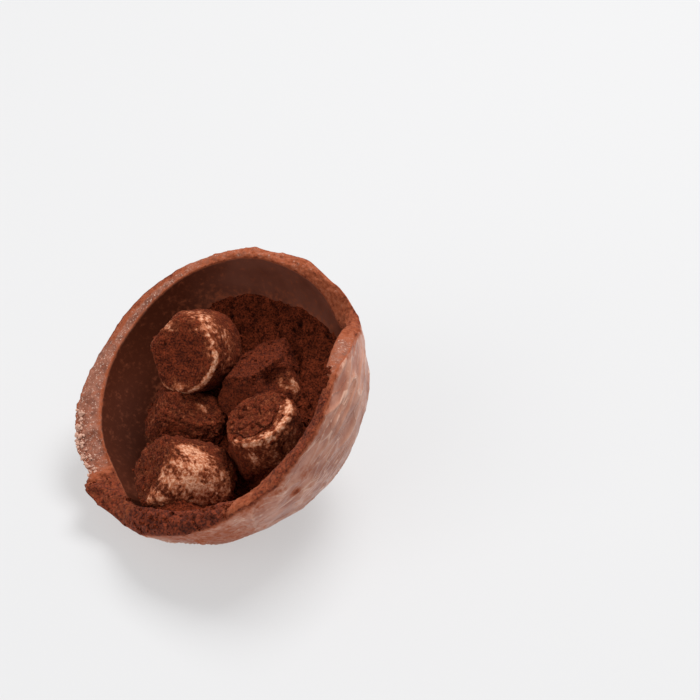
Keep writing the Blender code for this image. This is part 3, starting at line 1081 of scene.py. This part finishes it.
def marshmallowForm(look):
    # a rounded barrel as rings of points, before and after it is turned and pressed
    sides, rows = allMarshmallows["sides"], allMarshmallows["rows"]
    box = look.get("box", allMarshmallows["box"])
    turn = np.linspace(0, 2 * math.pi, sides, endpoint=False)
    rises = np.linspace(-1, 1, rows + 2)
    rises = math.pi / 2 * np.sign(rises) * np.abs(rises) ** 0.85    # even over ends and side
    turns = np.concatenate(([0.0], np.tile(turn, rows), [0.0]))
    rise = np.concatenate(([rises[0]], np.repeat(rises[1:-1], sides), [rises[-1]]))
    reach = power(np.maximum(np.cos(rise), 0.0), box) * look["width"] / 2
    reach = reach * (1 + (look["taper"] - 1) * (1 + np.sin(rise)) / 2)
    own = np.stack((reach * np.cos(turns), reach * np.sin(turns),
                    power(np.sin(rise), box) * look["length"] / 2), axis=-1)
    lumpSize = allMarshmallows["lumpSize"]
    lump = lumps(own + np.array((look["seed"] * lumpSize, 0, 0)), lumpSize)
    own *= (1 + look["dent"] * allMarshmallows["dent"] * lump / (look["width"] / 2))[:, None]
    facing = np.array(Vector(look["facing"]).to_track_quat("Z", "Y").to_matrix())
    return own, flatten(own @ facing.T, look["flats"])


def powderCap(own, around, look):
    # the cracked powder on an end: where it lies, where its cracks are, and its height
    way, radius, thick = look["cap"]
    seed = look["seed"]
    along, flat = outFrom(around, unitVector(way))
    aside = np.linalg.norm(flat, axis=1) + 0.9 * lumps(own, 2.5, 3, seed)
    cap = smooth((radius - aside) / 0.35) * (along > 0)
    bent = own + 0.35 * lumps(own, 0.9, 2, seed + 2)[:, None]
    cracks = cap * smooth((0.12 - pebbles(bent, 3.0, 5.0)) / 0.09)
    level = allMarshmallows["capLumps"] * lumps(own, 1.1, 3, seed + 4)
    level += allMarshmallows["capBlocks"] * clods(bent, 2.2, 8.0)
    return cap, cracks, cap * (thick + level) - allMarshmallows["crackDepth"] * cracks


def makeMarshmallowPiece(name, look):
    own, around = marshmallowForm(look)
    seed = look["seed"]
    pale = spotMask(around, look["pale"]) * (0.86 + 0.90 * lumps(around, 1.7, 3, seed))
    pale = np.clip(np.maximum(pale, ringMask(around, look["rings"])), 0, 1)
    dusty = 1 - smooth(1.4 * pale)

    # the crust of powder, and bare skin where it is worn off
    crust = lumps(around, look["crustSize"], 4, seed + 3)
    fine = lumps(around, 0.55, 2, seed + 6)
    height = dusty * (look["crust"] * crust + allMarshmallows["fineCrust"] * fine)
    height += allMarshmallows["bareLumps"] * (1 - dusty) * lumps(around, 0.8, 3, seed + 8)
    # painted shade in the low places of the crust, the hollows, grooves and cracks
    pit = dusty * np.clip(smooth(-1.6 * crust - 0.30) + 0.5 * smooth(-2.2 * fine - 0.3), 0, 1)
    if "blocks" in look:
        size, depth = look["blocks"]
        broken = smooth(0.55 + 1.6 * lumps(around, 4.0, 2, seed + 21))
        height += depth * dusty * broken * clods(around, size, seed)
        height += 0.5 * depth * dusty * clods(around, 0.45 * size, seed + 5)
    for place, reach, depth in look["hollows"]:
        sunk = depth * np.exp(-(np.linalg.norm(around - np.array(place), axis=1) / reach) ** 2)
        height -= sunk
        pit = np.clip(pit + 0.6 * dusty * sunk, 0, 1)
    if "grooves" in look:
        waves = lumps(around * np.array(look["grooveWay"]), 1.1, 3, seed + 11)
        lines = np.exp(-(waves / allMarshmallows["grooveWidth"]) ** 2)
        height += look["grooves"] * dusty * (0.6 * waves - 0.6 * lines)
        pit = np.clip(pit + dusty * (0.5 * smooth(-2.6 * waves - 0.3) + 0.8 * lines), 0, 1)
    if "cap" in look:
        cap, cracks, capHeight = powderCap(own, around, look)
        height += capHeight
        pit = pit + 0.8 * cracks
        pale *= 1 - cap
    # painted shadow darkens this marshmallow and takes away its pale patches
    gloom = look.get("gloom", 0.0) * dusty
    pit = pit + gloom * (1 - np.clip(pit, 0, 1))
    pale = pale - 0.8 * gloom - spotMask(around, look.get("thick", ()))

    out = around / np.maximum(np.linalg.norm(around, axis=1), 1e-6)[:, None]
    points = around + out * height[:, None] + np.array(look["place"])
    faces = ringFaces(allMarshmallows["rows"], allMarshmallows["sides"])
    piece = meshPiece(name, points, faces, marshmallowMaterial,
                      {"pale": pale, "pit": allMarshmallows["pitShade"] * pit})
    settle(piece, "marshmallow", look["node"])
    return piece, look["crumbs"] * dusty * smooth(2.2 * crust + 0.35)


def pointsOf(piece, kind="co"):
    # the places or the normals of a piece's points, as rows of three numbers
    values = np.empty(len(piece.data.vertices) * 3, np.float32)
    piece.data.vertices.foreach_get(kind, values)
    return values.reshape(-1, 3)


def placesOf(piece):
    # in millimetres from the ball's middle
    return (pointsOf(piece) - np.array(ballMiddle)) / mm


def treeOf(piece):
    # for measuring how near the powder comes
    faces = [tuple(face.vertices) for face in piece.data.polygons]
    return BVHTree.FromPolygons(placesOf(piece).tolist(), faces)


backLeft = makeMarshmallowPiece("backLeftMarshmallow", backLeftMarshmallow)
backRight = makeMarshmallowPiece("backRightMarshmallow", backRightMarshmallow)
middle = makeMarshmallowPiece("middleMarshmallow", middleMarshmallow)
right = makeMarshmallowPiece("rightMarshmallow", rightMarshmallow)
front = makeMarshmallowPiece("frontMarshmallow", frontMarshmallow)
marshmallows = (backLeft, backRight, middle, right, front)
powder = makeCocoa(cocoa, [treeOf(piece) for piece, _ in marshmallows])
shellPiece, shellPowder, shellFlakes = makeShell(shell)

cocoaCrumbs = {
    "sizes": (0.20, 0.85),      # across
    "smallness": 3.2,           # most are small
    "uneven": 0.75,
    "sink": 0.30,               # how far a crumb stands in, as a share of its size
    "looseSink": 0.70,          # and in loose powder
    "seed": 11,
}
chocolateFlakes = {
    "sizes": (0.22, 0.9),
    "smallness": 3.2,
    "uneven": 0.9,
    "sink": 0.35,
    "seed": 12,
}


def crumbTemplate():
    grain = bmesh.new()
    bmesh.ops.create_icosphere(grain, subdivisions=2, radius=0.5)
    grain.verts.ensure_lookup_table()
    points = np.array([vertex.co for vertex in grain.verts])
    faces = np.array([[vertex.index for vertex in face.verts] for face in grain.faces])
    grain.free()
    return points, faces


def makeCrumbs(name, look, material, slotName, beds, values=None):
    # beds are pieces with a weight for each point and how many crumbs lie there
    draw = np.random.default_rng(look["seed"])
    template, templateFaces = crumbTemplate()
    points, faces = [], []
    least, most = look["sizes"]
    for piece, weight, count in beds:
        places, normals = placesOf(piece), pointsOf(piece, "normal")
        sink = look["looseSink" if piece.name == "cocoaPowder" else "sink"]
        weight = np.clip(weight, 0, None)
        chosen = draw.choice(len(places), count, p=weight / weight.sum())
        for at in chosen:
            size = least + (most - least) * draw.random() ** look["smallness"]
            turn = np.array(Vector(draw.normal(size=3)).to_track_quat("Z", "Y").to_matrix())
            bumps = lumps(template, 0.45, 2, draw.random() * 50)
            form = template * (1 + look["uneven"] * bumps)[:, None] * draw.uniform(0.5, 1.25, 3)
            middle = places[at] + normals[at] * size * (0.5 - sink) * 0.6
            faces.append(templateFaces + len(points) * len(template))
            points.append(form @ turn.T * size + middle)
    points = np.vstack(points)
    values = {label: np.full(len(points), value) for label, value in (values or {}).items()}
    crumbs = meshPiece(name, points, np.vstack(faces).tolist(), material, values)
    settle(crumbs, slotName)


makeCrumbs("cocoaCrumbs", cocoaCrumbs, powderMaterial, "cocoa_powder",
           [(*backRight, 170), (*middle, 90), (*right, 110), (*front, 60), (*backLeft, 30),
            (*powder, 900), (shellPiece, shellPowder, 240)])
# the flakes take the full painted highlight colour, with a little of the break's colour
makeCrumbs("chocolateFlakes", chocolateFlakes, chocolateMaterial, "milk_chocolate",
           [(shellPiece, shellFlakes, 170)], {"broken": 0.2, "crest": 2.0})


# Places and sizes of the floor and the lights are in metres, and the camera's in millimetres.
studio = {
    "floorReach": 3.0,
    "floor": (146, 146, 147),
    "floorGlow": 0.465,      # lifts the floor's shadows, as a lit sweep does
    "world": 0.44,
    "keyPlace": (0.22, 0.25, 0.68),
    "keySize": 0.40,
    "keyPower": 5.7,
    "fillPlace": (-0.50, -0.42, 0.50),
    "fillSize": 0.60,
    "fillPower": 2.3,
    "elevation": math.radians(37.5),
    "distance": 419.2,
    "aside": 25.1,          # how far the view's middle is to the right of the ball's middle
    "above": 3.9,
    "lens": 130.5,
    "sensor": 36.0,
}


def makeFloor(look):
    mesh = bpy.data.meshes.new("floor")
    reach = look["floorReach"]
    mesh.from_pydata([(-reach, -reach, 0), (reach, -reach, 0), (reach, reach, 0),
                      (-reach, reach, 0)], [], [(0, 1, 2, 3)])
    material, tree, sockets = newMaterial("paleFloor", 0.8)
    sockets["Base Color"].default_value = linear(look["floor"])
    sockets["Specular IOR Level"].default_value = 0.0
    sockets["Emission Color"].default_value = (1.0, 1.0, 1.0, 1.0)
    sockets["Emission Strength"].default_value = look["floorGlow"]
    mesh.materials.append(material)
    floor = bpy.data.objects.new("floor", mesh)
    bpy.context.scene.collection.objects.link(floor)


def makeLights(look):
    world = bpy.data.worlds.new("softRoom")
    world.use_nodes = True
    world.node_tree.nodes["Background"].inputs["Color"].default_value = (1.0, 1.0, 1.0, 1.0)
    world.node_tree.nodes["Background"].inputs["Strength"].default_value = look["world"]
    bpy.context.scene.world = world
    for name in ("key", "fill"):
        data = bpy.data.lights.new(name + "Light", "AREA")
        data.size = look[name + "Size"]
        data.energy = look[name + "Power"]
        light = bpy.data.objects.new(name + "Light", data)
        light.location = look[name + "Place"]
        light.rotation_mode = "QUATERNION"
        light.rotation_quaternion = (ballMiddle - light.location).to_track_quat("-Z", "Y")
        bpy.context.scene.collection.objects.link(light)


def makeCamera(look):
    data = bpy.data.cameras.new("camera")
    data.lens = look["lens"]
    data.sensor_width = look["sensor"]
    data.clip_start = 0.01
    camera = bpy.data.objects.new("camera", data)
    sine, cosine = math.sin(look["elevation"]), math.cos(look["elevation"])
    right, up, back = Vector((1, 0, 0)), Vector((0, sine, cosine)), Vector((0, -cosine, sine))
    place = (right * look["aside"] + up * look["above"] + back * look["distance"]) * mm
    turn = Matrix((right, up, back)).transposed().to_4x4()
    camera.matrix_world = Matrix.Translation(ballMiddle + place) @ turn
    bpy.context.scene.collection.objects.link(camera)
    bpy.context.scene.camera = camera


makeFloor(studio)
makeLights(studio)
makeCamera(studio)
bpy.context.scene.view_settings.view_transform = "Standard"
bpy.context.view_layer.update()
print("scene ready")
